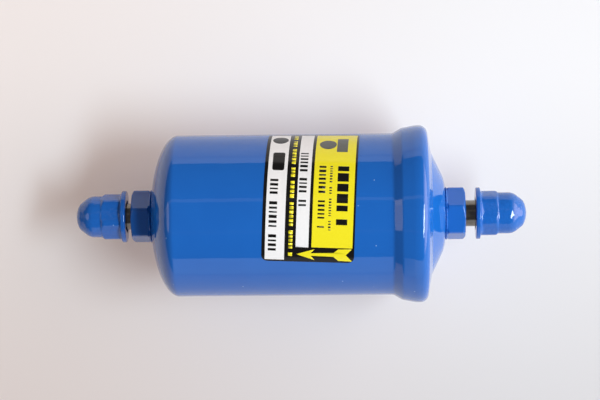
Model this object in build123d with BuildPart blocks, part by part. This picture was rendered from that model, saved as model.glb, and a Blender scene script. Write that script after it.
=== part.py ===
from build123d import *
from math import asin, atan2, degrees, pi, radians, sqrt, tan
import os

# Hermetic filter drier for a refrigerant liquid line, with a male flare fitting and a sealing
# cap nut at each end. The flow runs from the inlet at +X to the outlet at -X.
#
# The drier's own axis is X. The origin lies on it, close to the middle of the shell's straight side.
# Half-sections are drawn as (distance along the axis, radius) and revolved about X.

# Shell: a drawn cup, closed at the outlet, with its open mouth expanded to take the cover
shell_diameter = 58.0
shell_wall = 1.5
straight_length = 75.9
straight_start = -39.25  # where the drawn end meets the straight side
drawn_end_depth = 10.1
mouth_expansion = 2.8  # radial
ramp_length = 10.5  # from the straight side to the mouth's edge, in two opposite bends
ramp_foot_radius = 3.0  # of the first bend, outside
land_radius = 9.0  # flat crown at each end that carries a fitting

# Cover: a pressed cup with a raised dome, its skirt inside the expanded mouth
cover_wall = 1.8
cover_fit = 0.05  # radial gap between the cover's skirt and the mouth
cover_skirt_reach = 3.0  # how far the skirt follows the mouth inwards from its edge
cover_corner_radius = 2.4
cover_cone_rise = 1.8
cover_dome_height = 4.3
cover_dome_radius = 19.0
cover_root_blend = 1.2

# Welds, painted over
cover_weld_size = 3.0
fitting_weld_height = 0.8
fitting_weld_bulge = 0.4

# Fittings: 1/4 in SAE male flare, 7/16-20 UNF, turned from hexagon bar
hex_across_flats = 17.0
hex_length = 6.4
hex_turn = 15.0  # degrees from +Y towards +Z to one corner
hex_chamfer_angle = 30.0
thread_diameter = 11.11
neck_diameter = 9.4
neck_overlap = 0.6  # how far the thread relief reaches into the cap's mouth
nose_diameter = 9.1
nose_collar = 0.4
flow_bore = 4.8
flare_face = 0.5  # width of the flat ring round the bore at the nose's tip
spigot_diameter = 11.8
spigot_reach = 1.5  # past the inside of the end wall
spigot_gap = 0.05  # radial gap between the spigot and its hole
weld_collar_diameter = 15.5

# Cap nuts, screwed home against a sealing disc
cap_length = 18.2
cap_bore_depth = 13.4
cap_hex_across_flats = 15.0
cap_hex_end = 9.2  # from the open face
cap_hex_chamfer = 1.0
cap_diameter = 14.8
cap_dome_height = 4.7
cap_dome_blend = 3.0
cap_crown_height = 1.3  # how much of the dome is the rounded crown, beyond the cone
cap_crown_diameter = 9.2
cap_crown_blend = 2.0
cap_flange_diameter = 18.6
cap_flange_thickness = 1.6
cap_flange_edge = 0.5
cap_collar_end = 3.2
cap_mouth_chamfer = 0.5
thread_gap = 0.05  # radial running clearance of the screw thread
inlet_cap_gap = 3.8  # bare neck that shows between hexagon and cap
outlet_cap_gap = 2.1
inlet_cap_turn = 51.0
outlet_cap_turn = 48.0
seal_thickness = 1.5
seal_gap = 0.1  # around each sealing disc
seal_edge_gap = 0.4  # between the disc and the cap's bore

# Inside, from the outlet to the inlet
plate_edge_gap = 0.7  # radial, to the shell's bore
plate_seat_gap = 0.2  # along the axis, to the turn that it rests in
plate_thickness = 1.0
plate_hole_diameter = 3.2
plate_hole_rings = 3
plate_border = 4.4  # unpierced, outside the last ring of holes
plate_holes_per_ring = 6  # in the first ring, and as many again in each further one
mesh_thickness = 0.4
mat_thickness = 4.0
felt_gap = 0.2  # radial gap between the felt pieces and the shell
core_annulus = 3.1  # radial passage between core and shell
core_bore = 12.0
core_end_wall = 18.6  # solid end beyond the blind bore
core_chamfer = 2.0
band_length = 8.0
band_gap = 0.1
pad_thickness = 2.0
pad_inset = 2.4  # radial, from the core's side
seat_thickness = 1.0
seat_inset = 4.4  # radial, from the core's side
seat_boss_gap = 1.2  # radial, inside the spring's foot
seat_boss_height = 1.4
seat_boss_taper = 30.0
seat_tab_width = 12.0
seat_tab_lip = 5.0
seat_tabs = 3
tab_gap = 0.2
spring_height = 16.4  # as fitted; the core takes the length that is left
spring_wire = 1.6
spring_foot_radius = 13.0  # wire centre
spring_spigot_gap = 1.7  # radial, at the cover
spring_coils = 4.0
ground_depth = 0.5  # how much of the wire the flat ground ends take off

# Label, wrapped round the shell a little askew
label_width = 32.4
label_thickness = 0.05
label_gap = 0.02  # the adhesive, left out as a solid
label_centre = 8.2
label_start = 34.0  # degrees from +Z towards -Y
label_wrap = 139.0
label_skew = 2.6

# Worked-out sizes and stations
shell_radius = shell_diameter / 2
bore_radius = shell_radius - shell_wall
mouth_radius = shell_radius + mouth_expansion
straight_end = straight_start + straight_length
land_share = sqrt(1 - (land_radius / shell_radius) ** 2)
outlet_land = straight_start - drawn_end_depth * land_share
mouth_end = straight_end + ramp_length
ramp_turn = 2 * degrees(atan2(mouth_expansion, ramp_length))
ramp_crown_radius = (
    (ramp_length**2 + mouth_expansion**2) / (2 * mouth_expansion) - ramp_foot_radius
)
face_edge = mouth_end + cover_weld_size
dome_root = face_edge + cover_cone_rise
inlet_land = dome_root + cover_dome_height
face_radius = mouth_radius - cover_weld_size
skirt_radius = mouth_radius - shell_wall - cover_fit
spigot_radius = spigot_diameter / 2
spigot_hole = spigot_radius + spigot_gap
thread_radius = thread_diameter / 2
cap_bore_radius = thread_radius + thread_gap
stub_in_cap = cap_bore_depth - seal_thickness - 2 * seal_gap


def section_plane(x, way):
    """Half-section plane whose local X runs outwards from x and whose local Y is the radius."""
    return Plane(origin=(x, 0, 0), x_dir=(way, 0, 0), z_dir=(0, 0, way))


def square_plane(x, way):
    """Plane square to the axis at x, facing outwards."""
    return Plane(origin=(x, 0, 0), x_dir=(0, 1, 0), z_dir=(way, 0, 0))


def finish(builder, name):
    """Label a finished piece and write it under the same name."""
    builder.part.label = name
    export_step(builder.part, f"parts/{name}.step")


os.makedirs("parts", exist_ok=True)

# Shell: the outside, less the same outline set in by the wall, less the outlet's hole
land_depth = drawn_end_depth * land_share
with BuildPart() as shell:
    for inset, mode in ((0, Mode.ADD), (shell_wall, Mode.SUBTRACT)):
        with BuildSketch(Plane.XY):
            with BuildLine():
                drawn_end = EllipticalCenterArc(
                    (straight_start, 0),
                    drawn_end_depth - inset,
                    shell_radius - inset,
                    start_angle=90,
                    arc_size=degrees(asin((land_depth - inset) / (drawn_end_depth - inset))),
                )
                straight = Line(drawn_end @ 0, (straight_end, shell_radius - inset))
                foot = JernArc(straight @ 1, (1, 0), ramp_foot_radius + inset, ramp_turn)
                crown = JernArc(foot @ 1, foot % 1, ramp_crown_radius - inset, -ramp_turn)
                Polyline(drawn_end @ 1, (outlet_land + inset, 0), (mouth_end, 0), crown @ 1)
            make_face()
        revolve(axis=Axis.X, mode=mode)
    with BuildSketch(square_plane(outlet_land, 1)):
        Circle(spigot_hole)
    extrude(amount=shell_wall, mode=Mode.SUBTRACT)
finish(shell, "shell")

# Cover: crown, dome, slightly conical face and skirt, given a wall inwards. The skirt follows the
# bend of the mouth at the radial fit.
face_slope = cover_cone_rise / (cover_dome_radius - face_radius)
skirt_corner = (face_edge + face_slope * (skirt_radius - face_radius), skirt_radius)
skirt_bend = ramp_crown_radius - shell_wall - cover_fit
skirt_turn = degrees(asin(cover_skirt_reach / skirt_bend))
with BuildPart() as end_cover:
    with BuildSketch(Plane.XY):
        with BuildLine() as cover_outline:
            Line((inlet_land, spigot_hole), (inlet_land, land_radius))
            dome = TangentArc(
                (inlet_land, land_radius), (dome_root, cover_dome_radius), tangent=(0, 1)
            )
            FilletPolyline(
                dome @ 1, skirt_corner, (mouth_end, skirt_radius), radius=cover_corner_radius
            )
            JernArc((mouth_end, skirt_radius), (-1, 0), skirt_bend, skirt_turn)
            root = cover_outline.vertices().sort_by_distance(dome @ 1)[0]
            fillet(root, cover_root_blend)
            offset(amount=cover_wall, side=Side.LEFT, closed=True)
        make_face()
    revolve(axis=Axis.X)
finish(end_cover, "end_cover")

# Cover weld: rounds off the corner between the shell's edge and the cover
with BuildPart() as cover_weld:
    with BuildSketch(Plane.XY):
        with BuildLine():
            bead = TangentArc((mouth_end, mouth_radius), (face_edge, face_radius), tangent=(1, 0))
            Polyline(bead @ 1, (mouth_end, face_radius), bead @ 0)
        make_face()
    revolve(axis=Axis.X)
    add(end_cover.part, mode=Mode.SUBTRACT)
finish(cover_weld, "cover_weld")

# Both ends carry the same hexagon, thread and cap. The necks differ in length.
ends = (
    ("inlet", 1, inlet_land, cover_wall, inlet_cap_gap, inlet_cap_turn),
    ("outlet", -1, outlet_land, shell_wall, outlet_cap_gap, outlet_cap_turn),
)
for side, way, land, wall, cap_gap, cap_turn in ends:
    hex_base = land + way * fitting_weld_height
    hex_face = hex_base + way * hex_length
    cap_face = hex_face + way * cap_gap
    neck_length = cap_gap + neck_overlap
    stub_length = cap_gap + stub_in_cap
    nose_radius = nose_diameter / 2
    tip_radius = flow_bore / 2 + flare_face

    # Fitting: the hexagon with its turned chamfer, then the stub, the collar and the spigot
    with BuildPart() as fitting:
        corner_radius = hex_across_flats / sqrt(3)
        with BuildSketch(square_plane(hex_base, way)):
            RegularPolygon(corner_radius, 6, rotation=way * hex_turn)
        extrude(amount=hex_length)
        chamfer_rise = (corner_radius - hex_across_flats / 2) * tan(radians(hex_chamfer_angle))
        with BuildSketch(section_plane(hex_base, way)):
            Polygon(
                (0, 0),
                (hex_length, 0),
                (hex_length, hex_across_flats / 2),
                (hex_length - chamfer_rise, corner_radius),
                (0, corner_radius),
                align=None,
            )
        revolve(axis=Axis.X, mode=Mode.INTERSECT)
        with BuildSketch(section_plane(hex_face, way)):
            Polygon(
                (-hex_length, 0),
                (stub_length, 0),
                (stub_length, tip_radius),
                (stub_length - (nose_radius - tip_radius), nose_radius),
                (stub_length - (nose_radius - tip_radius) - nose_collar, nose_radius),
                (stub_length - (thread_radius - tip_radius) - nose_collar, thread_radius),
                (neck_length + thread_radius - neck_diameter / 2, thread_radius),
                (neck_length, neck_diameter / 2),
                (-hex_length, neck_diameter / 2),
                align=None,
            )
        revolve(axis=Axis.X)
        with BuildSketch(section_plane(land, way)):
            Polygon(
                (fitting_weld_height, 0),
                (fitting_weld_height, weld_collar_diameter / 2),
                (0, weld_collar_diameter / 2),
                (0, spigot_radius),
                (-wall - spigot_reach, spigot_radius),
                (-wall - spigot_reach, 0),
                align=None,
            )
        revolve(axis=Axis.X)
        with BuildSketch(square_plane(hex_face + way * stub_length, way)):
            Circle(flow_bore / 2)
        extrude(until=Until.LAST, dir=(-way, 0, 0), mode=Mode.SUBTRACT)
    finish(fitting, f"{side}_fitting")

    # Fitting weld: a bead round the collar, between the land and the hexagon
    with BuildPart() as fitting_weld:
        with BuildSketch(section_plane(land, way)):
            with BuildLine():
                inner = weld_collar_diameter / 2
                ThreePointArc(
                    (0, land_radius),
                    (fitting_weld_height / 2, land_radius + fitting_weld_bulge),
                    (fitting_weld_height, land_radius),
                )
                Polyline(
                    (fitting_weld_height, land_radius),
                    (fitting_weld_height, inner),
                    (0, inner),
                    (0, land_radius),
                )
            make_face()
        revolve(axis=Axis.X)
    finish(fitting_weld, f"{side}_fitting_weld")

    # Cap: the chamfered hexagon, joined by the flange, the round body and the dome
    with BuildPart() as cap:
        cap_corner = cap_hex_across_flats / sqrt(3)
        with BuildSketch(square_plane(cap_face + way * cap_flange_thickness / 2, way)):
            RegularPolygon(cap_corner, 6, rotation=way * cap_turn)
        extrude(amount=cap_hex_end - cap_flange_thickness / 2)
        with BuildSketch(section_plane(cap_face, way)):
            Polygon(
                (0, 0),
                (cap_hex_end, 0),
                (cap_hex_end, cap_hex_across_flats / 2),
                (cap_hex_end - cap_hex_chamfer, cap_corner),
                (0, cap_corner),
                align=None,
            )
        revolve(axis=Axis.X, mode=Mode.INTERSECT)
        with BuildSketch(section_plane(cap_face, way)):
            with BuildLine() as cap_outline:
                flange_radius = cap_flange_diameter / 2
                body_radius = cap_diameter / 2
                dome_start = cap_length - cap_dome_height
                crown_edge = (cap_length - cap_crown_height, cap_crown_diameter / 2)
                Line((0, 0), (0, flange_radius - cap_flange_edge))
                TangentArc(
                    (0, flange_radius - cap_flange_edge), (cap_flange_edge, flange_radius), tangent=(0, 1)
                )
                Line((cap_flange_edge, flange_radius), (cap_flange_thickness, flange_radius))
                TangentArc(
                    (cap_collar_end, body_radius), (cap_flange_thickness, flange_radius), tangent=(-1, 0)
                )
                FilletPolyline(
                    (cap_collar_end, body_radius),
                    (dome_start, body_radius),
                    crown_edge,
                    radius=cap_dome_blend,
                )
                TangentArc((cap_length, 0), crown_edge, tangent=(0, 1))
                Line((cap_length, 0), (0, 0))
                turn = cap_outline.vertices().sort_by_distance(crown_edge)[0]
                fillet(turn, cap_crown_blend)
            make_face()
        revolve(axis=Axis.X)
        with BuildSketch(section_plane(cap_face, way)):
            Polygon(
                (0, 0),
                (cap_bore_depth, 0),
                (cap_bore_depth, cap_bore_radius),
                (cap_mouth_chamfer, cap_bore_radius),
                (0, cap_bore_radius + cap_mouth_chamfer),
                align=None,
            )
        revolve(axis=Axis.X, mode=Mode.SUBTRACT)
    finish(cap, f"{side}_cap")

    # Seal: a soft disc at the bottom of the cap's bore, over the tip of the flare
    with BuildPart() as cap_seal:
        with BuildSketch(square_plane(cap_face + way * (cap_bore_depth - seal_gap), way)):
            Circle(cap_bore_radius - seal_edge_gap)
        extrude(amount=-seal_thickness)
    finish(cap_seal, f"{side}_cap_seal")

# Stations inside, from the drawn end towards the cover
plate_radius = bore_radius - plate_edge_gap
end_share = sqrt(1 - (plate_radius / bore_radius) ** 2)
plate_face = straight_start - (drawn_end_depth - shell_wall) * end_share + plate_seat_gap
mesh_face = plate_face + plate_thickness
mat_face = mesh_face + mesh_thickness
core_face = mat_face + mat_thickness
spring_foot = inlet_land - cover_wall - spring_height
seat_face = spring_foot - seat_thickness
pad_face = seat_face - pad_thickness
core_length = pad_face - core_face
core_bore_depth = core_length - core_end_wall
felt_radius = bore_radius - felt_gap
core_radius = bore_radius - core_annulus

# Support plate: a perforated disc that rests in the turn of the drawn end
ring_step = (plate_radius - plate_border - plate_hole_diameter / 2) / plate_hole_rings
with BuildPart() as support_plate:
    with BuildSketch(square_plane(plate_face, 1)):
        Circle(plate_radius)
        Circle(plate_hole_diameter / 2, mode=Mode.SUBTRACT)
        for ring in range(1, plate_hole_rings + 1):
            with PolarLocations(ring * ring_step, ring * plate_holes_per_ring):
                Circle(plate_hole_diameter / 2, mode=Mode.SUBTRACT)
    extrude(amount=plate_thickness)
finish(support_plate, "support_plate")

# Outlet mesh, filter mat and inlet pad: plain discs
discs = (
    ("outlet_mesh", mesh_face, mesh_thickness, plate_radius),
    ("filter_mat", mat_face, mat_thickness, felt_radius),
    ("core_pad", pad_face, pad_thickness, core_radius - pad_inset),
)
for name, face, thickness, radius in discs:
    with BuildPart() as disc:
        with BuildSketch(square_plane(face, 1)):
            Circle(radius)
        extrude(amount=thickness)
    finish(disc, name)

# Core: a moulded block with chamfered ends and a blind, round-ended passage to the outlet
with BuildPart() as desiccant_core:
    with BuildSketch(square_plane(core_face, 1)):
        Circle(core_radius)
    extrude(amount=core_length)
    chamfer(desiccant_core.edges(), core_chamfer)
    with BuildSketch(section_plane(core_face, 1)):
        with BuildLine():
            passage = core_bore / 2
            Polyline(
                (core_bore_depth, 0), (0, 0), (0, passage), (core_bore_depth - passage, passage)
            )
            TangentArc(
                (core_bore_depth - passage, passage), (core_bore_depth, 0), tangent=(1, 0)
            )
        make_face()
    revolve(axis=Axis.X, mode=Mode.SUBTRACT)
finish(desiccant_core, "desiccant_core")

# Centring band: a felt ring that holds the core's outlet end in the middle of the shell
with BuildPart() as centring_band:
    with BuildSketch(square_plane(core_face, 1)):
        Circle(felt_radius)
        Circle(core_radius + band_gap, mode=Mode.SUBTRACT)
    extrude(amount=band_length)
finish(centring_band, "centring_band")

# Spring seat: a pressed disc with a boss inside the spring and bent tabs that reach the shell
tab_radius = bore_radius - tab_gap
with BuildPart() as spring_seat:
    with BuildSketch(square_plane(seat_face, 1)):
        Circle(core_radius - seat_inset)
        with PolarLocations(0, seat_tabs):
            with Locations((tab_radius / 2, 0)):
                Rectangle(tab_radius, seat_tab_width)
        Circle(tab_radius, mode=Mode.INTERSECT)
    extrude(amount=seat_thickness)
    with BuildSketch(square_plane(seat_face, 1)):
        Circle(tab_radius)
        Circle(tab_radius - seat_thickness, mode=Mode.SUBTRACT)
        with PolarLocations(0, seat_tabs):
            with Locations((tab_radius / 2, 0)):
                Rectangle(tab_radius, seat_tab_width, mode=Mode.INTERSECT)
    extrude(amount=seat_tab_lip)
    with BuildSketch(square_plane(spring_foot, 1)):
        Circle(spring_foot_radius - spring_wire / 2 - seat_boss_gap)
    extrude(amount=seat_boss_height, taper=seat_boss_taper)
finish(spring_seat, "spring_seat")

# Core spring: a conical coil with flat ground ends, from the seat to the cover's crown
coil_height = spring_height - spring_wire + 2 * ground_depth
spring_head_radius = spigot_radius + spring_spigot_gap + spring_wire / 2
with BuildPart() as core_spring:
    with BuildLine() as coil:
        Helix(
            coil_height / spring_coils,
            coil_height,
            spring_foot_radius,
            center=(spring_foot + spring_wire / 2 - ground_depth, 0, 0),
            direction=(1, 0, 0),
            cone_angle=degrees(atan2(spring_head_radius - spring_foot_radius, coil_height)),
        )
    with BuildSketch(Plane(coil.line @ 0, z_dir=coil.line % 0)):
        Circle(spring_wire / 2)
    sweep(is_frenet=True)
    with BuildSketch(square_plane(spring_foot, 1)):
        Circle(bore_radius)
    extrude(amount=spring_height, mode=Mode.INTERSECT)
finish(core_spring, "core_spring")

# Label: a strip swept along a short, steep stretch of helix, so that it lies askew
label_radius = shell_radius + label_gap + label_thickness / 2
label_pitch = 2 * pi * label_radius * tan(radians(label_skew))
with BuildPart() as label:
    with BuildLine() as wrap:
        turn_from_top = Helix(
            label_pitch,
            label_pitch * label_wrap / 360,
            label_radius,
            center=(label_centre - label_pitch * label_start / 360, 0, 0),
            direction=(1, 0, 0),
            lefthand=True,
            mode=Mode.PRIVATE,
        )
        add(turn_from_top.rotate(Axis.X, label_start))
    with BuildSketch(Plane(wrap.line @ 0, x_dir=(1, 0, 0), z_dir=wrap.line % 0)):
        Rectangle(label_width, label_thickness)
    sweep(is_frenet=True)
finish(label, "label")
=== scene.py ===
# %% [markdown]
# # A filter drier on a pale table
#
# The drier is a sealed steel can, sprayed blue all over after it was welded, with a flare fitting
# and a cap nut at each end and a printed label round its middle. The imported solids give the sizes
# and the places. This file gives the visible surfaces their finish: paint with a slight orange
# peel, bare threads, an ink-printed film, and the materials of what is inside.
#
# Everything is worked out in millimetres along the drier's own axis X and turned to metres when
# a mesh is made. Angles round the axis are counted from +Z, the side that faces up, towards -Y.

from math import atan2, cos, degrees, pi, radians, sin, tan

import bmesh
import bpy
import numpy as np
from mathutils import Matrix, Vector


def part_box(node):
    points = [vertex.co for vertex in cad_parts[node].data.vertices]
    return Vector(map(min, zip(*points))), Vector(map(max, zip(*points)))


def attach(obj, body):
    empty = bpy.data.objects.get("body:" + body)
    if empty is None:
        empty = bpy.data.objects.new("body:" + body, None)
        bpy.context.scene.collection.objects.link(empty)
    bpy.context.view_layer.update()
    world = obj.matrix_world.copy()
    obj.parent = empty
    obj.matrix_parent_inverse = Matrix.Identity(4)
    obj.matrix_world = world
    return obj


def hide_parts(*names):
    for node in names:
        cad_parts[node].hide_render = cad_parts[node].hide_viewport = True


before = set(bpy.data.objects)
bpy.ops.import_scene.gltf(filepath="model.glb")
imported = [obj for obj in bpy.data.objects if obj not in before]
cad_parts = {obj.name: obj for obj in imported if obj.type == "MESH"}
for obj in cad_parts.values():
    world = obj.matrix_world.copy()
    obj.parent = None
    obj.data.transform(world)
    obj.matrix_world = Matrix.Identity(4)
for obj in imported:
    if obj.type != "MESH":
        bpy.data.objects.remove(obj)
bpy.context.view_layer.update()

# %% [markdown]
# ## From a grid of points to a mesh
#
# Nearly every surface here is an outline carried round the axis, so its points form a grid: one
# row for each point of the outline and one column for each angle. Spinning a curve with a modifier
# would also work, but a hexagon, a thread and a weld all change the radius with the angle, and a
# whole grid of radii can be changed with one line of array arithmetic.

# %% Grids and outlines


def turned_grid(outline, angles, swell=None):
    """Grid of points in mm. A point of the outline is (x, r), and at angle t it lies at
    (x, -r sin t, r cos t). swell, if given, is a grid of lengths added to the radius."""
    x, r = np.asarray(outline, float).T
    radius = np.repeat(r[:, None], len(angles), axis=1)
    if swell is not None:
        radius = radius + swell
    along = np.repeat(x[:, None], len(angles), axis=1)
    return np.stack([along, -radius * np.sin(angles), radius * np.cos(angles)], axis=-1)


def grid_mesh(name, grid, looped=False, finishes=(), choose=None, crease=32):
    """Closed mesh from a grid in mm whose last column joins its first. Rows on the axis shrink to
    one point, and looped joins the last row to the first. Corners that fall on the same spot are
    merged, and the whole is turned so that its volume, the sum of (a x b . c) / 6 over its
    triangles, is positive. choose gives each face's finish from its centre."""
    rows, columns = grid.shape[:2]
    spots, merged = np.unique(np.round(grid.reshape(-1, 3) / 1000, 8), axis=0, return_inverse=True)
    merged = merged.reshape(-1)
    i = np.arange(rows if looped else rows - 1)[:, None]
    j = np.arange(columns)[None, :]
    down, across = (i + 1) % rows, (j + 1) % columns
    corners = [i * columns + j, i * columns + across, down * columns + across, down * columns + j]
    quads = merged[np.stack(corners, axis=-1).reshape(-1, 4)]
    same = quads == np.roll(quads, -1, axis=1)
    whole = quads[~same.any(axis=1)]
    thirds = [np.delete(quads[same[:, k] & (same.sum(axis=1) == 1)], k, axis=1) for k in range(4)]
    triangles = np.concatenate(thirds)
    fans = np.concatenate([whole[:, [0, 1, 2]], whole[:, [0, 2, 3]], triangles])
    a, b, c = (spots[fans[:, k]] for k in range(3))
    volume = np.einsum("ij,ij->", a, np.cross(b, c)) / 6
    if volume < 0:
        whole, triangles = whole[:, ::-1], triangles[:, ::-1]
    mesh = bpy.data.meshes.new(name)
    mesh.from_pydata(spots.tolist(), [], whole.tolist() + triangles.tolist())
    mesh.shade_smooth()
    mesh.set_sharp_from_angle(angle=radians(crease))
    for finish in finishes:
        mesh.materials.append(finish)
    if choose is not None:
        centres = np.zeros(len(mesh.polygons) * 3)
        mesh.polygons.foreach_get("center", centres)
        mesh.polygons.foreach_set("material_index", choose(centres.reshape(-1, 3) * 1000))
    piece = bpy.data.objects.new(name, mesh)
    bpy.context.scene.collection.objects.link(piece)
    print(f"{name}: {len(mesh.polygons)} faces, {abs(volume) * 1e9 / 1000:.2f} cm3")
    return piece


def arc(centre, radius, start, end, count):
    """Points (x, r) from one angle to the other, on a circle, or on an ellipse if radius is a
    pair of half axes."""
    turn = np.radians(np.linspace(start, end, count))
    wide, high = (radius, radius) if np.isscalar(radius) else radius
    return np.stack([centre[0] + wide * np.cos(turn), centre[1] + high * np.sin(turn)], axis=-1)


def soft_corner(before, corner, after, radius, count=9):
    """Arc of the given radius that is tangent to both sides of a corner. It starts at a distance of
    radius x tan(half the turn) before the corner and ends as far after it."""
    before, corner, after = (np.asarray(p, float) for p in (before, corner, after))
    into = (corner - before) / np.linalg.norm(corner - before)
    out = (after - corner) / np.linalg.norm(after - corner)
    turn = atan2(into[0] * out[1] - into[1] * out[0], float(into @ out))
    inset = radius * tan(abs(turn) / 2)
    side = np.array([-into[1], into[0]]) * np.sign(turn)
    middle = corner - into * inset + side * radius
    swing = np.linspace(0, turn, count)[:, None]
    spoke = -side * radius
    quarter_on = np.array([-spoke[1], spoke[0]])
    return middle + spoke * np.cos(swing) + quarter_on * np.sin(swing)


def filled(outline, step):
    """The same outline with no gap longer than step: each side is cut into equal parts."""
    outline = np.asarray(outline, float)
    parts = [outline[:1]]
    for a, b in zip(outline[:-1], outline[1:]):
        count = max(1, int(np.ceil(np.linalg.norm(b - a) / step)))
        parts.append(a + (b - a) * np.linspace(0, 1, count + 1)[1:, None])
    return np.concatenate(parts)


def softer_of(a, b, blend, sign):
    """Smooth larger (sign 1) or smaller (sign -1) of two lengths: the mean, plus or minus half of
    the root of their squared difference and the squared blend."""
    return (a + b + sign * np.sqrt((a - b) ** 2 + blend**2)) / 2


def whole_turn(count):
    """Angles of a full turn, evenly spaced, without the last, which is the first again."""
    return np.linspace(0, 2 * pi, count, endpoint=False)


# %% [markdown]
# ## Colours and nodes
#
# Colours are written as the eye sees them, in sRGB hex, and Blender's shaders want linear light,
# so one function turns them. A second small function adds a node, sets it and links it, and four
# short ones use it for what every finish needs: a noise, a ramp, a mix of colours and a bump.

# %% Colour and node helpers


def linear(hex_colour):
    """sRGB hex to linear light: a channel c is c / 12.92 up to 0.04045 and otherwise
    ((c + 0.055) / 1.055) to the power 2.4."""
    channels = np.array([int(hex_colour[k : k + 2], 16) for k in (1, 3, 5)]) / 255
    light = np.where(channels <= 0.04045, channels / 12.92, ((channels + 0.055) / 1.055) ** 2.4)
    return (*light.tolist(), 1.0)


def add_node(tree, kind, links=(), **settings):
    """Adds a node. A setting that is a property is set, any other names an input socket with its
    underscores as spaces. links are (socket of this node, socket that feeds it)."""
    node = tree.nodes.new(kind)
    for key, value in settings.items():
        if hasattr(node, key):
            setattr(node, key, value)
        else:
            node.inputs[key.replace("_", " ")].default_value = value
    for socket, source in links:
        tree.links.new(node.inputs[socket], source)
    return node


def new_finish(name, colour, roughness, **shader):
    """A material with one Principled shader. Returns it with its tree, its shader and a vector of
    Object coordinates in metres."""
    material = bpy.data.materials.new(name)
    material.use_nodes = True
    tree = material.node_tree
    tree.nodes.clear()
    surface = add_node(tree, "ShaderNodeBsdfPrincipled", Roughness=roughness, **shader)
    surface.inputs["Base Color"].default_value = linear(colour)
    add_node(tree, "ShaderNodeOutputMaterial", [("Surface", surface.outputs["BSDF"])])
    place = add_node(tree, "ShaderNodeTexCoord").outputs["Object"]
    material.diffuse_color = linear(colour)
    return material, tree, surface, place


def per_mm(wavelength):
    """Scale of a noise on Object coordinates in metres, for features of that size in mm."""
    return 1000 / wavelength


def noise(tree, place, size, detail):
    """Field of a noise with features of that size in mm."""
    links = [("Vector", place)]
    node = add_node(tree, "ShaderNodeTexNoise", links, Scale=per_mm(size), Detail=detail)
    return node.outputs["Fac"]


def ramped(tree, value, low, high, **settings):
    """Field that goes from 0 to 1 while a value goes from low to high."""
    node = add_node(
        tree, "ShaderNodeMapRange", [("Value", value)], From_Min=low, From_Max=high, **settings
    )
    return node.outputs["Result"]


def mixed(tree, share, first, second):
    """Colour between two, by a share from 0 to 1. Each is a colour or a socket that gives one."""
    node = add_node(tree, "ShaderNodeMix", [("Factor", share)], data_type="RGBA")
    for socket, colour in (("A", first), ("B", second)):
        if isinstance(colour, tuple):
            node.inputs[socket].default_value = colour
        else:
            tree.links.new(node.inputs[socket], colour)
    return node.outputs["Result"]


def bumped(tree, height, strength, depth, over=None):
    """Normal of a surface with a relief of depth mm, laid over another bump if one is given."""
    links = [("Height", height)] + ([] if over is None else [("Normal", over)])
    node = add_node(tree, "ShaderNodeBump", links, Strength=strength, Distance=depth / 1000)
    return node.outputs["Normal"]


# %% [markdown]
# ## Blue stove enamel
#
# The whole drier is sprayed with one coat of glossy enamel and baked. The film is hard and smooth
# enough to mirror the room with sharp edges, but it isn't flat: spraying leaves an orange peel
# with waves about 2 mm long, long soft swells where it flowed, and a few specks of dust under it.
# On the nuts, which were sprayed from all sides, the coat ran thick and dried lumpy.

# %% Enamel
coat_colour, coat_dark, coat_light = "#1965BC", "#1863BA", "#1A68C0"
swell_mm, swell_depth = 9.0, 0.4
dust_colour, dust_spacing, dust_height = "#7FB0E8", 6.0, 0.12
# A cell pattern gives the distance to the middle of a cell as a share of the spacing
dust_core, dust_edge = 0.028, 0.044


def enamel_coat(name, peel_mm, peel_strength, peel_depth):
    """Baked enamel: a deep glossy blue that mirrors the room. The orange peel is a noise of peel_mm
    whose relief is peel_depth mm, and a speck of dust lifts the coat where it lies."""
    material, tree, surface, place = new_finish(name, coat_colour, 0.04, IOR=1.67)
    swell = noise(tree, place, swell_mm, 1.0)
    peel = noise(tree, place, peel_mm, 1.5)
    links = [("Vector", place)]
    dust = add_node(tree, "ShaderNodeTexVoronoi", links, Scale=per_mm(dust_spacing), feature="F1")
    distance = dust.outputs["Distance"]
    speck = ramped(tree, distance, dust_core, dust_edge, To_Min=1.0, To_Max=0.0)
    tone = mixed(tree, swell, linear(coat_dark), linear(coat_light))
    dusted = mixed(tree, speck, tone, linear(dust_colour))
    tree.links.new(surface.inputs["Base Color"], dusted)
    waves = bumped(tree, swell, 0.10, swell_depth)
    peeled = bumped(tree, peel, peel_strength, peel_depth, over=waves)
    relief = bumped(tree, speck, 0.6, dust_height, over=peeled)
    tree.links.new(surface.inputs["Normal"], relief)
    return material


enamel = enamel_coat("blue_stove_enamel", 1.8, 0.07, 0.1)
thick_enamel = enamel_coat("blue_enamel_run_thick", 1.5, 0.55, 0.26)
print("enamel: orange peel every 1.8 mm, and deeper every 1.5 mm where it ran thick on the nuts")

# %% [markdown]
# ## Plated steel and the other inner finishes
#
# The fittings are free-cutting steel, zinc plated before welding, and bare from the hexagon out.
# Zinc plate is a soft grey metal with a faint yellow cast, slightly cloudy, with faint rings left
# by the lathe under it. A metal keeps Blender's default IOR.

# %% Zinc plate
zinc_colour, zinc_dark, zinc_light, zinc_roughness = "#86807A", "#6E6862", "#98938A", 0.2
cloud_mm, ring_depth = 2.5, 0.04
# The wave node turns 20 radians over one unit of its scaled place. Here it turns one radian in
# 0.35 mm, so the rings are 2.2 mm apart.
ring_radian_mm, wave_radians = 0.35, 20

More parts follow.
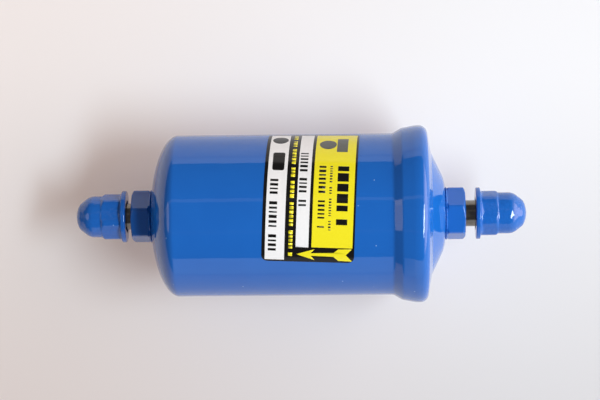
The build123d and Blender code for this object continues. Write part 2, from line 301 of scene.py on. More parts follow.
zinc, tree, surface, place = new_finish(
    "zinc_plated_steel", zinc_colour, zinc_roughness, Metallic=1.0
)
cloud = noise(tree, place, cloud_mm, 3.0)
clouded = mixed(tree, cloud, linear(zinc_dark), linear(zinc_light))
tree.links.new(surface.inputs["Base Color"], clouded)
rings = add_node(
    tree,
    "ShaderNodeTexWave",
    [("Vector", place)],
    Scale=per_mm(ring_radian_mm) / wave_radians,
    Distortion=0.4,
)
turned = bumped(tree, rings.outputs["Fac"], 0.12, ring_depth)
tree.links.new(surface.inputs["Normal"], turned)
print("zinc plate: clouds of", cloud_mm, "mm, rings", round(2 * pi * ring_radian_mm, 1), "mm apart")

# %% [markdown]
# What lies inside never shows from outside, but each piece still has its own stuff: drawn spring
# wire, pressed felt, a moulded block of desiccant beads in a binder, and a soft rubber seal. Each
# is one noise or cell pattern at the size of the real grain, mixed into the colour and the bump.

# %% Grained finishes


def grained(name, dark, light, grain, roughness, bump, kind="ShaderNodeTexNoise", **shader):
    """A finish whose colour runs between two tones with a grain of the given size in mm. The relief
    is a tenth of the grain deep, and bump is its strength."""
    material, tree, surface, place = new_finish(name, dark, roughness, **shader)
    pattern = add_node(tree, kind, [("Vector", place)], Scale=per_mm(grain))
    field = pattern.outputs["Fac" if kind == "ShaderNodeTexNoise" else "Distance"]
    tree.links.new(surface.inputs["Base Color"], mixed(tree, field, linear(dark), linear(light)))
    tree.links.new(surface.inputs["Normal"], bumped(tree, field, bump, grain / 10))
    return material


# Drawn wire is smooth and dark grey, felt dull and fibrous, the desiccant sandy, rubber black and
# matt, pressed sheet evenly bright, and wire cloth a fine sparkling weave.
spring_wire = grained("drawn_spring_wire", "#4A4A4C", "#6E6E70", 0.6, 0.3, 0.2, Metallic=1.0)
felt = grained("pressed_felt", "#B9B2A2", "#DCD6C8", 0.35, 0.95, 1.0)
beads = grained(
    "bonded_desiccant", "#C9AE84", "#E4D3B0", 1.6, 0.9, 1.0, kind="ShaderNodeTexVoronoi"
)
rubber = grained("black_seal_rubber", "#131313", "#1F1F1F", 0.5, 0.6, 0.3)
pressed_zinc = grained("pressed_zinc_sheet", "#8C8A80", "#ABA698", 3.0, 0.38, 0.15, Metallic=1.0)
woven_wire = grained(
    "woven_wire_cloth",
    "#4C4A44",
    "#8E8A7E",
    0.3,
    0.4,
    1.0,
    kind="ShaderNodeTexVoronoi",
    Metallic=1.0,
)

inner_finish = {
    "support_plate": pressed_zinc,
    "spring_seat": pressed_zinc,
    "outlet_mesh": woven_wire,
    "filter_mat": felt,
    "centring_band": felt,
    "core_pad": felt,
    "desiccant_core": beads,
    "core_spring": spring_wire,
    "inlet_cap_seal": rubber,
    "outlet_cap_seal": rubber,
}
for node, finish in inner_finish.items():
    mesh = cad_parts[node].data
    mesh.materials.clear()
    mesh.materials.append(finish)
print("finishes given to", len(inner_finish), "inner pieces")

# %% [markdown]
# ## The painted vessel
#
# On the real drier the can, the cover, the ring weld and the two beads under the fittings are
# separate, but one coat of enamel runs over them all, so here they are one skin: its outline goes
# from bead to bead over the outside and comes back inside, a wall thickness lower. The ring weld
# and the beads keep the ripples of welding, softened by the paint.

# %% Vessel
shell_r, bore_r, mouth_r = 29.0, 27.5, 31.8
shell_wall, cover_wall = shell_r - bore_r, 1.8
straight_start, end_depth, mouth_end = -39.25, 10.1, 47.15
inlet_land, outlet_land, land_r = 56.25, -48.85, 9.0
ring_r = 3.0  # of the weld round the cover
face_edge, face_r = mouth_end + ring_r, mouth_r - ring_r
collar_r, bead_height, bead_bulge, spigot_hole = 7.8, 0.8, 0.4, 5.95

# The mouth opens in three bends, at the foot, at the knee and at the crown of a short ramp
ramp_foot, ramp_knee, ramp_crown = (37.6, shell_r), (40.75, 30.87), (45.6, mouth_r)
foot_bend_r, knee_bend_r, crown_bend_r = 2.4, 3.0, 12.0
# The cover: a flat ring, a bend, a straight cone and a rounded crown
cone_foot, cone_foot_r, cone_bend_r = 51.38, 22.1, 2.0
dome_arc_r, dome_turn = 12.8, 25.5
cover_back, cover_back_r = 50.05, 18.2  # where the cover's flat turns into its dome, inside

end_turn = degrees(np.arcsin(land_r / shell_r))
inner_turn = degrees(np.arcsin(spigot_hole / bore_r))
outlet_bead = [
    (outlet_land, collar_r),
    (outlet_land - bead_height, collar_r),
    (outlet_land - bead_height, land_r),
    (outlet_land - bead_height / 2, land_r + bead_bulge),
]
drawn_end = arc((straight_start, 0), (end_depth, shell_r), 180 - end_turn, 90, 60)
ramp = [(straight_start, shell_r), ramp_foot, ramp_knee, ramp_crown, (mouth_end, mouth_r)]
foot_bend = soft_corner(*ramp[:3], foot_bend_r, 14)
knee_bend = soft_corner(*ramp[1:4], knee_bend_r, 12)
crown_bend = soft_corner(*ramp[2:], crown_bend_r, 10)
ring = arc((mouth_end, face_r), ring_r, 90, 0, 14)
dome = arc((inlet_land - dome_arc_r, land_r), dome_arc_r, dome_turn, 0, 24)
cone_bend = soft_corner(ring[-1], (cone_foot, cone_foot_r), dome[0], cone_bend_r)
face = filled([ring[-1], cone_bend[0]], 0.5)
inlet_bead = [
    (inlet_land + bead_height / 2, land_r + bead_bulge),
    (inlet_land + bead_height, land_r),
    (inlet_land + bead_height, collar_r),
    (inlet_land, collar_r),
]
inside = [
    (inlet_land, spigot_hole),
    (inlet_land - cover_wall, spigot_hole),
    (inlet_land - cover_wall, land_r),
    (cover_back, cover_back_r),
    (face_edge - cover_wall, bore_r),
    (straight_start, bore_r),
]
inner_axes = (end_depth - shell_wall, bore_r)
inner_end = arc((straight_start, 0), inner_axes, 90, 180 - inner_turn, 24)
outer_rows = [filled(outlet_bead, 0.3), drawn_end, foot_bend, knee_bend[1:], crown_bend, ring[1:]]
outer_rows += [face[1:], cone_bend[1:], dome, filled(inlet_bead, 0.3)]
outline = np.concatenate([*outer_rows, inside, inner_end, [(outlet_land, spigot_hole)]])
rippled_rows = sum(len(rows) for rows in outer_rows) - 1  # the last one is under the hexagon
around = whole_turn(360)


def weld_ripple(x, r, centre, width, depth, count, seed):
    """Grid of radial waves: a bell of the distance from the bead's middle, times a row of uneven
    bumps, the square of a sine whose phase wanders round the turn."""
    rng = np.random.default_rng(seed)
    wander = sum(rng.normal(0, 0.5) * np.sin(k * around + rng.uniform(0, 6)) for k in range(1, 6))
    bumps = np.sin(count / 2 * around + wander) ** 2
    bell = np.exp(-(((x - centre[0]) ** 2 + (r - centre[1]) ** 2) / width**2))
    return depth * bell[:, None] * (bumps[None, :] - 0.5)


x, r = outline.T
ring_middle = (face_edge, face_r - 0.2)
ripples = weld_ripple(x, r, ring_middle, width=0.9, depth=0.07, count=120, seed=3)
for land, way, seed in ((inlet_land, 1, 4), (outlet_land, -1, 5)):
    bead_middle = (land + way * bead_height / 2, land_r)
    ripples += weld_ripple(x, r, bead_middle, width=0.8, depth=0.22, count=40, seed=seed)
ripples[rippled_rows:] = 0
vessel = grid_mesh(
    "painted_vessel", turned_grid(outline, around, ripples), looped=True, finishes=[enamel]
)
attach(vessel, "drier_body")
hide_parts("shell", "cover_weld", "end_cover", "inlet_fitting_weld", "outlet_fitting_weld")

# %% [markdown]
# ## Screw thread
#
# Each stub has a 7/16-20 thread: 20 turns to the inch, so 1.27 mm a turn, right-handed at both
# ends. A thread on a turned grid is a wave of x minus pitch times the share of a turn. The nut's
# thread is worked out from the same wave with a little room, so the two stay clear of each other
# while the nut unscrews, which moves every point along that very helix.

# %% Thread waves
pitch = 1.27
crest_r, root_r = 5.555, 4.83
nut_crest_r, nut_root_r, thread_room = 4.985, 5.605, 0.045
flank_slope, flat_share = 1.45, 0.25


def stub_thread(x, angles):
    """Grid of radii of the outer thread. h = |2 frac(x / pitch - turn) - 1| is 1 on the crest, and
    the radius goes from root to crest with a flat at each."""
    h = np.abs(2 * np.mod(x[:, None] / pitch - angles[None, :] / (2 * pi), 1) - 1)
    return root_r + (crest_r - root_r) * np.clip(flank_slope * h - flat_share, 0, 1)


def nut_thread(x, angles):
    """Grid of radii of the thread in the nut: the outer thread plus the room, but never nearer to
    the axis than the nut's own crest, nor further out than its root."""
    return np.clip(stub_thread(x, angles) + thread_room, nut_crest_r, nut_root_r)


print("thread depth on the stub", round(crest_r - root_r, 3), "mm, pitch", pitch, "mm")


# %% [markdown]
# ## Flare fittings
#
# Each fitting is turned from 17 mm hexagon bar: a spigot in the end wall, the hexagon with its
# chamfered corners, then the threaded stub that ends in the flare nose. A hexagon on a turned grid
# is half its width across flats divided by the cosine of the angle from the nearest flat's middle.
# The hexagon is under the paint, which rounds its edges, and the stub is bare.

# %% Hexagon and fitting
hex_flats, hex_length, hex_turn, chamfer_angle = 17.0, 6.4, -15.0, 30.0
neck_r, nose_r, nose_collar, flare_face, flow_r = 4.7, 4.55, 0.4, 0.5, 2.4
stub_in_cap, neck_overlap, runout = 11.7, 0.6, 0.25
spigot_r, spigot_reach, in_bead_r, block_foot_r = 5.9, 1.5, 7.75, 8.2
corner_round, chamfer_round, foot_lift, cone_limit = 0.12, 0.22, 0.35, 1.4
paint_reach = 0.25  # how far the enamel runs past the hexagon, onto the stub
fitting_columns, block_step, stub_step = 180, 0.16, 0.11


def hexagon(angles, flats, corner_at, corner_share=0.985):
    """Radius of a hexagon at each angle, with one corner at the angle corner_at in degrees. Each
    corner is rounded off at corner_share of its full radius, as on drawn bar."""
    from_flat = np.mod(angles - radians(corner_at), pi / 3) - pi / 6
    sharp = flats / 2 / np.cos(from_flat)
    return softer_of(sharp, flats / np.sqrt(3) * corner_share, corner_round, -1)


def flare_fitting(side, way, land, wall, gap):
    """Closed surface of one fitting. Outline rows are (a, r), a outwards from the land, and the
    rows of the hexagon are cut back to the smaller of the hexagon and its 30 degree chamfers."""
    hexa = bead_height + hex_length
    tip = hexa + gap + stub_in_cap
    neck = hexa + gap + neck_overlap
    tip_r = flow_r + flare_face
    corner = hex_flats / np.sqrt(3)
    back = [
        (-wall - spigot_reach, flow_r),
        (-wall - spigot_reach, spigot_r),
        (0, spigot_r),
        (0, in_bead_r),
        (bead_height, in_bead_r),
    ]
    sides = [(bead_height, block_foot_r), (bead_height, corner), (hexa, corner), (hexa, neck_r)]
    block = filled(sides, block_step)
    nose_start = tip - (nose_r - tip_r) - nose_collar
    stub_end = nose_start - (crest_r - nose_r)
    stub = [
        (hexa, neck_r),
        (neck, neck_r),
        (neck + runout, crest_r),
        (stub_end, crest_r),
        (nose_start, nose_r),
        (nose_start + nose_collar, nose_r),
        (tip, tip_r),
        (tip, flow_r),
    ]
    rows = np.concatenate([back, block, filled(stub, stub_step)[1:]])
    a, r = rows.T
    x = land + way * a
    angles = whole_turn(fitting_columns)
    radius = np.repeat(r[:, None], len(angles), axis=1)
    row = np.arange(len(rows))
    in_block = (row >= len(back)) & (row < len(back) + len(block))
    rise = (corner - hex_flats / 2) * tan(radians(chamfer_angle))
    from_face = np.minimum(hexa - a, (a - bead_height) + foot_lift)  # the foot is chamfered less
    cone = hex_flats / 2 + (corner - hex_flats / 2) * np.clip(from_face / rise, 0, cone_limit)
    six_sided = hexagon(angles, hex_flats, hex_turn)
    limit = softer_of(six_sided[None, :], cone[:, None], chamfer_round, -1)
    radius = np.where(in_block[:, None], np.minimum(radius, limit), radius)
    threaded = (a > neck + 0.1) & (a < stub_end)
    radius = np.where(threaded[:, None], np.minimum(radius, stub_thread(x, angles)), radius)
    grid = turned_grid(np.stack([x, 0 * x], axis=-1), angles, radius)
    painted_to = hexa + paint_reach

    def bare(c):
        return ((c[:, 0] - land) * way > painted_to).astype(np.int32)

    name = f"{side}_flare_fitting"
    piece = grid_mesh(name, grid, looped=True, finishes=[enamel, zinc], choose=bare)
    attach(piece, "drier_body")
    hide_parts(f"{side}_fitting")
    return piece


def past_solid(piece, node):
    """How far the ends of a mesh lie past those of its solid along X, low and high, in mm."""
    low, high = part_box(node)
    x = [v.co.x * 1000 for v in piece.data.vertices]
    return round(min(x) - low.x * 1000, 3), round(max(x) - high.x * 1000, 3)


# Side, way outwards, land, end wall and gap between hexagon and cap. Then, for the cap's hexagon,
# the angle of one corner, where it ends and how much of its corners the forming left.
ends = (
    ("inlet", 1, inlet_land, cover_wall, 3.8, -39.0, 8.0, 0.925),
    ("outlet", -1, outlet_land, shell_wall, 2.1, -42.0, 8.9, 0.955),
)
for side, way, land, wall, gap, *cap_hexagon in ends:
    fitting = flare_fitting(side, way, land, wall, gap)
    print(side, "fitting, solid to mesh in mm", past_solid(fitting, f"{side}_fitting"))

# %% [markdown]
# ## Cap nuts
#
# The caps are pressed and turned nuts: a flange at the open face, a hexagon, a round body and a
# dome. The hexagon stands only a little proud of the body, so its corners fade into it. They were
# screwed on before painting, so the enamel bridges the inner corners, and the bore is bare.

# %% Caps
cap_length, cap_bore_depth, cap_body_r = 18.2, 13.4, 7.4
cap_flange_r, cap_flange_t, flange_edge_r, flange_back_r = 9.3, 1.6, 0.5, 0.3
cap_collar_end, collar_fillet_r, mouth_chamfer, seal_room = 3.2, 1.624, 0.5, 2.1
cap_dome, shoulder_inset, shoulder_bend_r = 4.7, 0.15, 5.0
crown_height, crown_edge_r, cap_crown_bend_r = 1.3, 4.6, 3.5
crown_inset = 6  # degrees of the crown's arc that give way to the bend before it
cap_flats, cap_chamfer, corner_blend, body_blend = 15.0, 1.3, 0.25, 0.3
# Past its end the hexagon dives under the round body, so that it fades out in a short slope
dive_start, dive_reach, dive_slope, sunk = 0.3, 1.5, 1.2, 0.03
rise_from, rise_over = 1.2, 0.8  # where it comes out of the flange
hex_starts, hex_tail = 0.7, 1.6  # as a share of the flange, and past its end
bore_margin, end_margin = 0.6, 0.1  # of what counts as bare metal
cap_columns, bore_step, skin_step = 180, 0.11, 0.16


def cap_nut(side, way, face, corner_at, hex_end, corner_share):
    """Closed surface of one cap: rows run from the middle of the bore's end, out through the
    thread, round the flange and over the hexagon to the tip of the dome."""
    bore = [
        (cap_bore_depth, 0),
        (cap_bore_depth, nut_root_r),
        (mouth_chamfer, nut_root_r),
        (0, nut_root_r + mouth_chamfer),
    ]
    # The outer two points of a bend only say which way its sides run
    edge, back = (0, cap_flange_r), (cap_flange_t, cap_flange_r)
    flange = soft_corner((0, 7), edge, back, flange_edge_r, 7)
    flange_back = soft_corner((0.5, cap_flange_r), back, (cap_flange_t, 8), flange_back_r, 5)
    fillet_centre = (cap_collar_end, cap_body_r + collar_fillet_r)
    fillet = arc(fillet_centre, collar_fillet_r, 192, 270, 9)
    body = (cap_collar_end, cap_body_r)
    shoulder = (cap_length - cap_dome - shoulder_inset, cap_body_r)
    crown_r = (crown_height**2 + crown_edge_r**2) / 2 / crown_height
    crown_turn = degrees(np.arcsin(crown_edge_r / crown_r))
    crown = arc((cap_length - crown_r, 0), crown_r, crown_turn - crown_inset, 0, 16)
    crown_edge = (cap_length - crown_height, crown_edge_r)
    shoulder_bend = soft_corner(body, shoulder, crown_edge, shoulder_bend_r, 17)
    crown_bend = soft_corner(shoulder, crown_edge, crown[0], cap_crown_bend_r, 11)
    skin = [flange, flange_back, fillet, [body], shoulder_bend, crown_bend, crown]
    outer, inner = filled(np.concatenate(skin), skin_step), filled(bore, bore_step)
    rows = np.concatenate([inner, outer])
    a, r = rows.T
    x = face + way * a
    angles = whole_turn(cap_columns)
    radius = np.repeat(r[:, None], len(angles), axis=1)
    outside = np.arange(len(rows)) >= len(inner)
    corner = cap_flats / np.sqrt(3)
    chamfer = np.clip((hex_end - a) / cap_chamfer, 0, 1)
    cone = cap_flats / 2 + (corner - cap_flats / 2) * chamfer
    six_sided = hexagon(angles, cap_flats, corner_at, corner_share)
    prism = softer_of(six_sided[None, :], cone[:, None], corner_blend, -1)
    prism = prism - dive_slope * np.clip(a - hex_end + dive_start, 0, dive_reach)[:, None]
    proud = softer_of(radius, prism, body_blend, 1) - sunk
    on_hexagon = outside & (a > cap_flange_t * hex_starts) & (a < hex_end + hex_tail)
    fade = np.clip((a - rise_from) / rise_over, 0, 1)[:, None]
    radius = np.where(on_hexagon[:, None], radius + fade * np.maximum(proud - radius, 0), radius)
    in_thread = (a > mouth_chamfer - 0.05) & (a < cap_bore_depth - seal_room)
    threaded = ~outside & in_thread & (r == nut_root_r)
    radius = np.where(threaded[:, None], nut_thread(x, angles), radius)
    grid = turned_grid(np.stack([x, 0 * x], axis=-1), angles, radius)

    def bare(c):
        depth, out = (c[:, 0] - face) * way, np.hypot(c[:, 1], c[:, 2])
        in_bore = (out < nut_root_r + bore_margin) & (depth < cap_bore_depth + end_margin)
        return in_bore.astype(np.int32)

    piece = grid_mesh(f"{side}_cap_nut", grid, finishes=[thick_enamel, zinc], choose=bare)
    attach(piece, f"{side}_cap")
    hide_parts(f"{side}_cap")
    return piece


for side, way, land, wall, gap, *cap_hexagon in ends:
    face = land + way * (bead_height + hex_length + gap)
    cap = cap_nut(side, way, face, *cap_hexagon)
    print(side, "cap, solid to mesh in mm", past_solid(cap, f"{side}_cap"))

# %% [markdown]
# ## Label
#
# The label is a self-adhesive film, printed black, white and yellow, that runs nearly a third of
# the way round and sits a little askew. A flat shape (u across, v along the wrap) goes onto the
# can by turning it by the skew and rolling v round the axis, so straight edges stay straight on
# the film. Each colour is its own thin layer. Print is plain: bars in place of words, simple
# shapes in place of marks, and the arrow that shows the way of the flow.

# %% Inks
mottle_mm, film_mm, film_relief = 0.8, 5.0, 0.3


def ink(name, colour, second):
    """Screen-printed ink under a clear film: a smooth even gloss with a faint mottle."""
    material, tree, surface, place = new_finish(name, colour, 0.12, IOR=1.49)
    mottle = noise(tree, place, mottle_mm, 2.0)
    mottled = mixed(tree, mottle, linear(colour), linear(second))
    tree.links.new(surface.inputs["Base Color"], mottled)
    waves = bumped(tree, noise(tree, place, film_mm, 1.0), 0.06, film_relief)
    tree.links.new(surface.inputs["Normal"], waves)
    return material


black_ink = ink("black_label_film", "#0D0C0B", "#171513")
white_ink = ink("white_label_ink", "#F2F1EE", "#FAF9F6")
yellow_ink = ink("yellow_label_ink", "#F4E51E", "#F9EC2C")
grey_ink = ink("grey_label_ink", "#55564F", "#63645C")

# %% Rolling flat shapes onto the can
label_x, skew, film_r, strip = 8.2, radians(2.6), 29.07, 0.6


def rolled(name, shapes, finish, lift, thickness):
    """Flat outlines in mm become thin curved layers. A point (u, v) goes to x = label_x + u cos s +
    v sin s and to the arc length v cos s - u sin s, which is an angle when divided by the radius.
    Each shape is first cut into strips along v, so that it follows the curve."""
    flat = bmesh.new()
    for shape in shapes:
        flat.faces.new([flat.verts.new((u, v, 0)) for u, v in shape])
    lows = min(v for shape in shapes for u, v in shape)
    highs = max(v for shape in shapes for u, v in shape)
    for cut in np.arange(lows + strip / 2, highs, strip):
        everything = flat.verts[:] + flat.edges[:] + flat.faces[:]
        bmesh.ops.bisect_plane(flat, geom=everything, plane_co=(0, cut, 0), plane_no=(0, 1, 0))
    bmesh.ops.triangulate(flat, faces=flat.faces[:])
    mesh = bpy.data.meshes.new(name)
    flat.to_mesh(mesh)
    flat.free()
    points = np.zeros(len(mesh.vertices) * 3)
    mesh.vertices.foreach_get("co", points)
    u, v = points.reshape(-1, 3).T[:2]
    radius = film_r + lift
    along = label_x + u * cos(skew) + v * sin(skew)
    turn = (v * cos(skew) - u * sin(skew)) / film_r
    rolled_up = np.stack([along, radius * np.sin(turn), radius * np.cos(turn)], axis=-1) / 1000
    mesh.vertices.foreach_set("co", rolled_up.ravel())
    mesh.update()
    facing = np.zeros(len(mesh.polygons) * 3)
    mesh.polygons.foreach_get("normal", facing)
    centre = np.zeros(len(mesh.polygons) * 3)
    mesh.polygons.foreach_get("center", centre)
    outwards = (facing.reshape(-1, 3)[:, 1:] * centre.reshape(-1, 3)[:, 1:]).sum()
    if outwards < 0:
        mesh.flip_normals()
    mesh.shade_smooth()
    mesh.materials.append(finish)
    piece = bpy.data.objects.new(name, mesh)
    bpy.context.scene.collection.objects.link(piece)
    solid = piece.modifiers.new("thickness", "SOLIDIFY")
    solid.thickness = thickness / 1000
    solid.offset = -1
    evened = piece.modifiers.new("normals_of_the_large_faces", "WEIGHTED_NORMAL")
    evened.weight = 100
    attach(piece, "drier_body")
    print(f"{name}: {len(shapes)} shapes, {len(mesh.polygons)} faces")
    return piece


def box_shape(u0, v0, u1, v1):
    """Rectangle from its low left to its high right corner."""
    return [(u0, v0), (u1, v0), (u1, v1), (u0, v1)]


def rounded_box(u0, v0, u1, v1, radius, count=8):
    """Rectangle whose corners are quarter circles."""
    left, right, low, high = u0 + radius, u1 - radius, v0 + radius, v1 - radius
    middles = [((right, low), -90), ((right, high), 0), ((left, high), 90), ((left, low), 180)]
    corners = [arc(middle, radius, start, start + 90, count) for middle, start in middles]
    return [tuple(point) for corner in corners for point in corner]


def disc_shape(u, v, radius, count=28):
    """Circle, as a polygon of count sides."""
    return [tuple(p) for p in arc((u, v), radius, 0, 360, count + 1)[:-1]]


def bars(u0, u1, v0, v1, mean, gap, seed):
    """A row of plain bars in place of a line of print: each as wide as the row, with a length that
    varies about the mean, and a wider gap after every few, as between words."""
    rng = np.random.default_rng(seed)
    shortest, longest, word_gap, few, many = 0.6, 1.25, 3.5, 3, 8
    shapes, v, left = [], v1, rng.integers(few, many)
    while v - mean * shortest > v0:
        length = min(mean * rng.uniform(shortest, longest), v - v0)
        shapes.append(box_shape(u0, v - length, u1, v))
        left -= 1
        v -= length + (gap if left else gap * word_gap)
        left = left or rng.integers(few, many)
    return shapes


# %% Film, fields, arrow and bars
film_t, ink_t, first_ink, second_ink = 0.05, 0.012, 0.006, 0.012
film_left, film_right, film_low, film_high, film_corner = -16.2, 16.1, -17.3, 40.0, 2.2
field_high = 38.7  # where all the fields end
left_field = (-15.03, -16.6, -8.27)  # u0, v0, u1
middle_field = (-4.37, -11.5, 0.1)
yellow_field = (1.16, -11.4, 15.4)
title_low, title_high = -5.4, 18.6

film_shape = rounded_box(film_left, film_low, film_right, film_high, film_corner)
film = rolled("label_film", [film_shape], black_ink, 0.0, film_t)
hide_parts("label")

white = [box_shape(*left_field, field_high), box_shape(*middle_field, field_high)]
rolled("label_white_fields", white, white_ink, first_ink, ink_t)

arrow = [
    (-4.1, -14.2), (2.4, -16.45), (0.9, -14.7), (8.9, -14.9), (10.6, -16.5), (15.4, -16.65),
    (13.2, -14.1), (15.2, -11.8), (10.5, -11.9), (8.9, -13.35), (0.9, -13.7), (2.3, -12.1),
]
small_bars = bars(-6.9, -5.5, -15.4, 37.5, mean=1.15, gap=0.45, seed=11)
yellow = [box_shape(*yellow_field, field_high), arrow] + small_bars
rolled("label_yellow_fields", yellow, yellow_ink, first_ink, ink_t)

print_on_white = bars(-14.0, -11.2, -14.3, 12.7, mean=0.9, gap=0.75, seed=21)
print_on_white += bars(-3.9, -1.2, 2.6, 24.6, mean=0.85, gap=0.75, seed=22)
print_on_white += [disc_shape(-11.6, 33.0, 2.8), rounded_box(-13.6, 16.2, -9.4, 24.6, 0.8)]
print_on_yellow = bars(9.4, 13.3, title_low, title_high, mean=3.2, gap=0.8, seed=31)
print_on_yellow += bars(2.9, 5.3, title_low, title_high, mean=0.9, gap=0.75, seed=33)
print_on_yellow += bars(6.7, 7.6, title_low, title_high, mean=0.5, gap=0.5, seed=32)
rolled("label_black_print", print_on_white + print_on_yellow, black_ink, second_ink, ink_t)
grey_shapes = [disc_shape(5.4, 30.0, 3.0), box_shape(8.6, 25.5, 12.4, 34.5)]
rolled("label_grey_print", grey_shapes, grey_ink, second_ink, ink_t)

# %% [markdown]
# ## Table and light
#
# The drier lies on a pale sheet, on its ring and on the far edge of its outlet end. A soft box at
# the inlet end is the main light, and a weak one at the outlet end lifts the shadow there. Two pale
# walls stand above and below the picture, and the ceiling is dark, which is what gives the enamel
# its broad saturated band with straight edges.

# %% Table
sheet_dark, sheet_light = "#A5A7A9", "#CFD2D3"
warm_glow, cool_glow, glow_strength = (1.0, 0.70, 0.54, 1.0), (0.97, 0.89, 0.86, 1.0), 0.28
sheet_reach, grid_lines, sheet_gap = 3, 7, 0.05

# A matt pale sheet, with painted shade that makes it darker near the lower edge of the picture.
# The faint glow stands for the light that real paper scatters into the shadows, warmer at the
# outlet end.
sheet, tree, surface, place = new_finish("pale_sheet", "#E9E7E4", 0.75)
split = add_node(tree, "ShaderNodeSeparateXYZ", [("Vector", place)])
smooth = {"interpolation_type": "SMOOTHSTEP"}
up = ramped(tree, split.outputs["Y"], -0.12, 0.07, **smooth)
to_inlet = ramped(tree, split.outputs["X"], -0.12, 0.10, **smooth)
tint = mixed(tree, up, linear(sheet_dark), linear(sheet_light))
tree.links.new(surface.inputs["Base Color"], tint)
tree.links.new(surface.inputs["Emission Color"], mixed(tree, to_inlet, warm_glow, cool_glow))
surface.inputs["Emission Strength"].default_value = glow_strength

rest_tilt = atan2(mouth_r - shell_r, mouth_end - straight_start)
across = np.linspace(-sheet_reach, sheet_reach, grid_lines)
sheet_x, sheet_y = np.meshgrid(across, across)
sheet_z = -(shell_r + sheet_gap) / 1000 - (sheet_x - straight_start / 1000) * tan(rest_tilt)
corners = np.stack([sheet_x, sheet_y, sheet_z], axis=-1).reshape(-1, 3)
starts = [k for k in range(grid_lines * (grid_lines - 1)) if k % grid_lines != grid_lines - 1]
cells = [(k, k + 1, k + grid_lines + 1, k + grid_lines) for k in starts]
table_mesh = bpy.data.meshes.new("table")
table_mesh.from_pydata(corners.tolist(), [], cells)
table_mesh.materials.append(sheet)
table = bpy.data.objects.new("table", table_mesh)
bpy.context.scene.collection.objects.link(table)
print("table tilts by", round(degrees(rest_tilt), 2), "degrees along the drier")

# %% Soft boxes


def soft_box(name, centre, size, radiance, colour):
    """Round area light that faces the drier. Sizes in metres are its width along Y and its height.
    Its power is radiance x pi x area."""
    light = bpy.data.lights.new(name, "AREA")
    light.shape = "ELLIPSE"
    light.size, light.size_y = size
    light.energy = radiance * pi * size[0] * size[1] * (pi / 4)
    light.color = linear(colour)[:3]
    lamp = bpy.data.objects.new(name, light)
    lamp.location = centre
    lamp.rotation_euler = (-Vector(centre)).to_track_quat("-Z", "Y").to_euler()
    bpy.context.scene.collection.objects.link(lamp)
    print(name, "power", round(light.energy, 1), "W")


soft_box("inlet_soft_box", (0.67, -0.174, 1.0), (0.90, 0.24), 21.0, "#E6F5FF")
soft_box("outlet_soft_box", (-0.9, -0.02, 0.62), (0.66, 0.50), 1.0, "#FFF0E2")

# %% Room
wall_edge, wall_end, wall_end_slope = 0.05, 0.10, 0.25


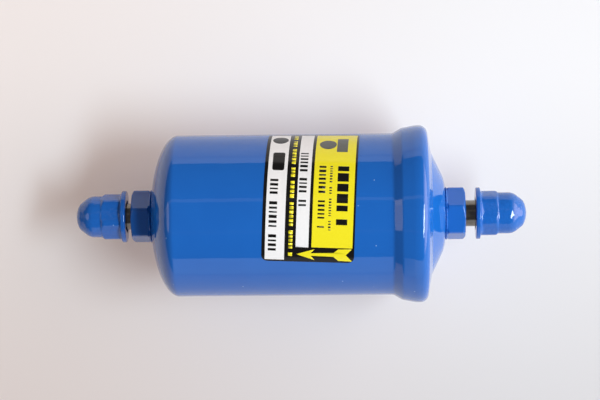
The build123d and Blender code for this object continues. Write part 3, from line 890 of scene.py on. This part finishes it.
def room(ceiling, walls, stripes, window):
    """World light from the direction (x, y, z). A wall fills y > z tan(angle) on its own side, as
    far as x > -0.4. Each stripe is a strip of the ceiling at an angle from Z towards +Y. The window
    is a broad glow that grows with x, so the straight side of the can never mirrors it."""
    world = bpy.data.worlds.new("studio_room")
    bpy.context.scene.world = world
    world.use_nodes = True
    tree = world.node_tree
    tree.nodes.clear()
    place = add_node(tree, "ShaderNodeTexCoord").outputs["Generated"]
    split = add_node(tree, "ShaderNodeSeparateXYZ", [("Vector", place)])

    def maths(operation, first, second):
        """One sum of two fields, or of a field and a number."""
        node = add_node(tree, "ShaderNodeMath", [(0, first)], operation=operation)
        if isinstance(second, float):
            node.inputs[1].default_value = second
        else:
            tree.links.new(node.inputs[1], second)
        return node.outputs[0]

    def lean(y_weight, z_weight):
        """Weighted sum of the direction's y and z."""
        y_part = maths("MULTIPLY", split.outputs["Y"], y_weight)
        return maths("ADD", y_part, maths("MULTIPLY", split.outputs["Z"], z_weight))

    def layer(below, field, low, high, colour):
        """The colour over what is below, from nothing at low to all of it at high."""
        edge = ramped(tree, field, low, high, interpolation_type="SMOOTHSTEP")
        return mixed(tree, edge, below, colour)

    light = ceiling
    for angle, half_width, colour in stripes:
        off = maths("ABSOLUTE", lean(cos(radians(angle)), -sin(radians(angle))), 0.0)
        edge = sin(radians(half_width))
        light = layer(light, off, edge, edge * 0.5, colour)
    start, full, colour = window
    light = layer(light, split.outputs["X"], start, full, colour)
    for sign, angle, colour in walls:
        height = lean(sign, -tan(radians(angle)))
        end = maths("ADD", maths("MULTIPLY", split.outputs["X"], wall_end_slope), wall_end)
        light = layer(light, maths("MINIMUM", height, end), 0.0, wall_edge, colour)
    glow = add_node(tree, "ShaderNodeBackground", [("Color", light)])
    add_node(tree, "ShaderNodeOutputWorld", [("Surface", glow.outputs["Background"])])


# Linear colours, since a window is brighter than white
room(
    ceiling=(0.10, 0.10, 0.11, 1),
    walls=[(1.0, 80, (0.80, 0.76, 0.74, 1)), (-1.0, 62, (0.66, 0.68, 0.72, 1))],
    stripes=[(22, 3.0, (0.36, 0.36, 0.38, 1)), (-23, 1.2, (0.2, 0.2, 0.21, 1))],
    window=(0.42, 0.85, (3.3, 2.7, 2.5, 1)),
)
bpy.context.scene.view_settings.view_transform = "Standard"
print("room of", len(bpy.context.scene.world.node_tree.nodes), "nodes")

# %% [markdown]
# ## Camera
#
# The camera hangs 784 mm above the drier's axis, a little towards the inlet, and looks almost
# straight down. One pixel of the 600 that the picture is wide covers 0.36 mm on the axis. The
# picture is turned by 0.6 degrees, so the inlet end sits slightly higher.

# %% Camera
mm_per_pixel, width_px, height_mm, roll = 0.36, 600, 784.0, radians(0.58)
sensor_mm = 36.0
stand = Vector((26.5, 5.0, height_mm)) / 1000
aim = Vector((4.29, 5.35, 0.0)) / 1000
ahead = (aim - stand).normalized()
right = ahead.cross(Vector((sin(roll), cos(roll), 0))).normalized()
upward = right.cross(ahead)
camera_data = bpy.data.cameras.new("camera")
camera_data.sensor_fit = "HORIZONTAL"
camera_data.sensor_width = sensor_mm
camera_data.lens = sensor_mm * (aim - stand).length * 1000 / (width_px * mm_per_pixel)
camera = bpy.data.objects.new("camera", camera_data)
facing = Matrix((right, upward, -ahead)).transposed().to_4x4()
camera.matrix_world = Matrix.Translation(stand) @ facing
bpy.context.scene.collection.objects.link(camera)
bpy.context.scene.camera = camera
print("lens", round(camera_data.lens, 1), "mm on a 36 mm sensor")
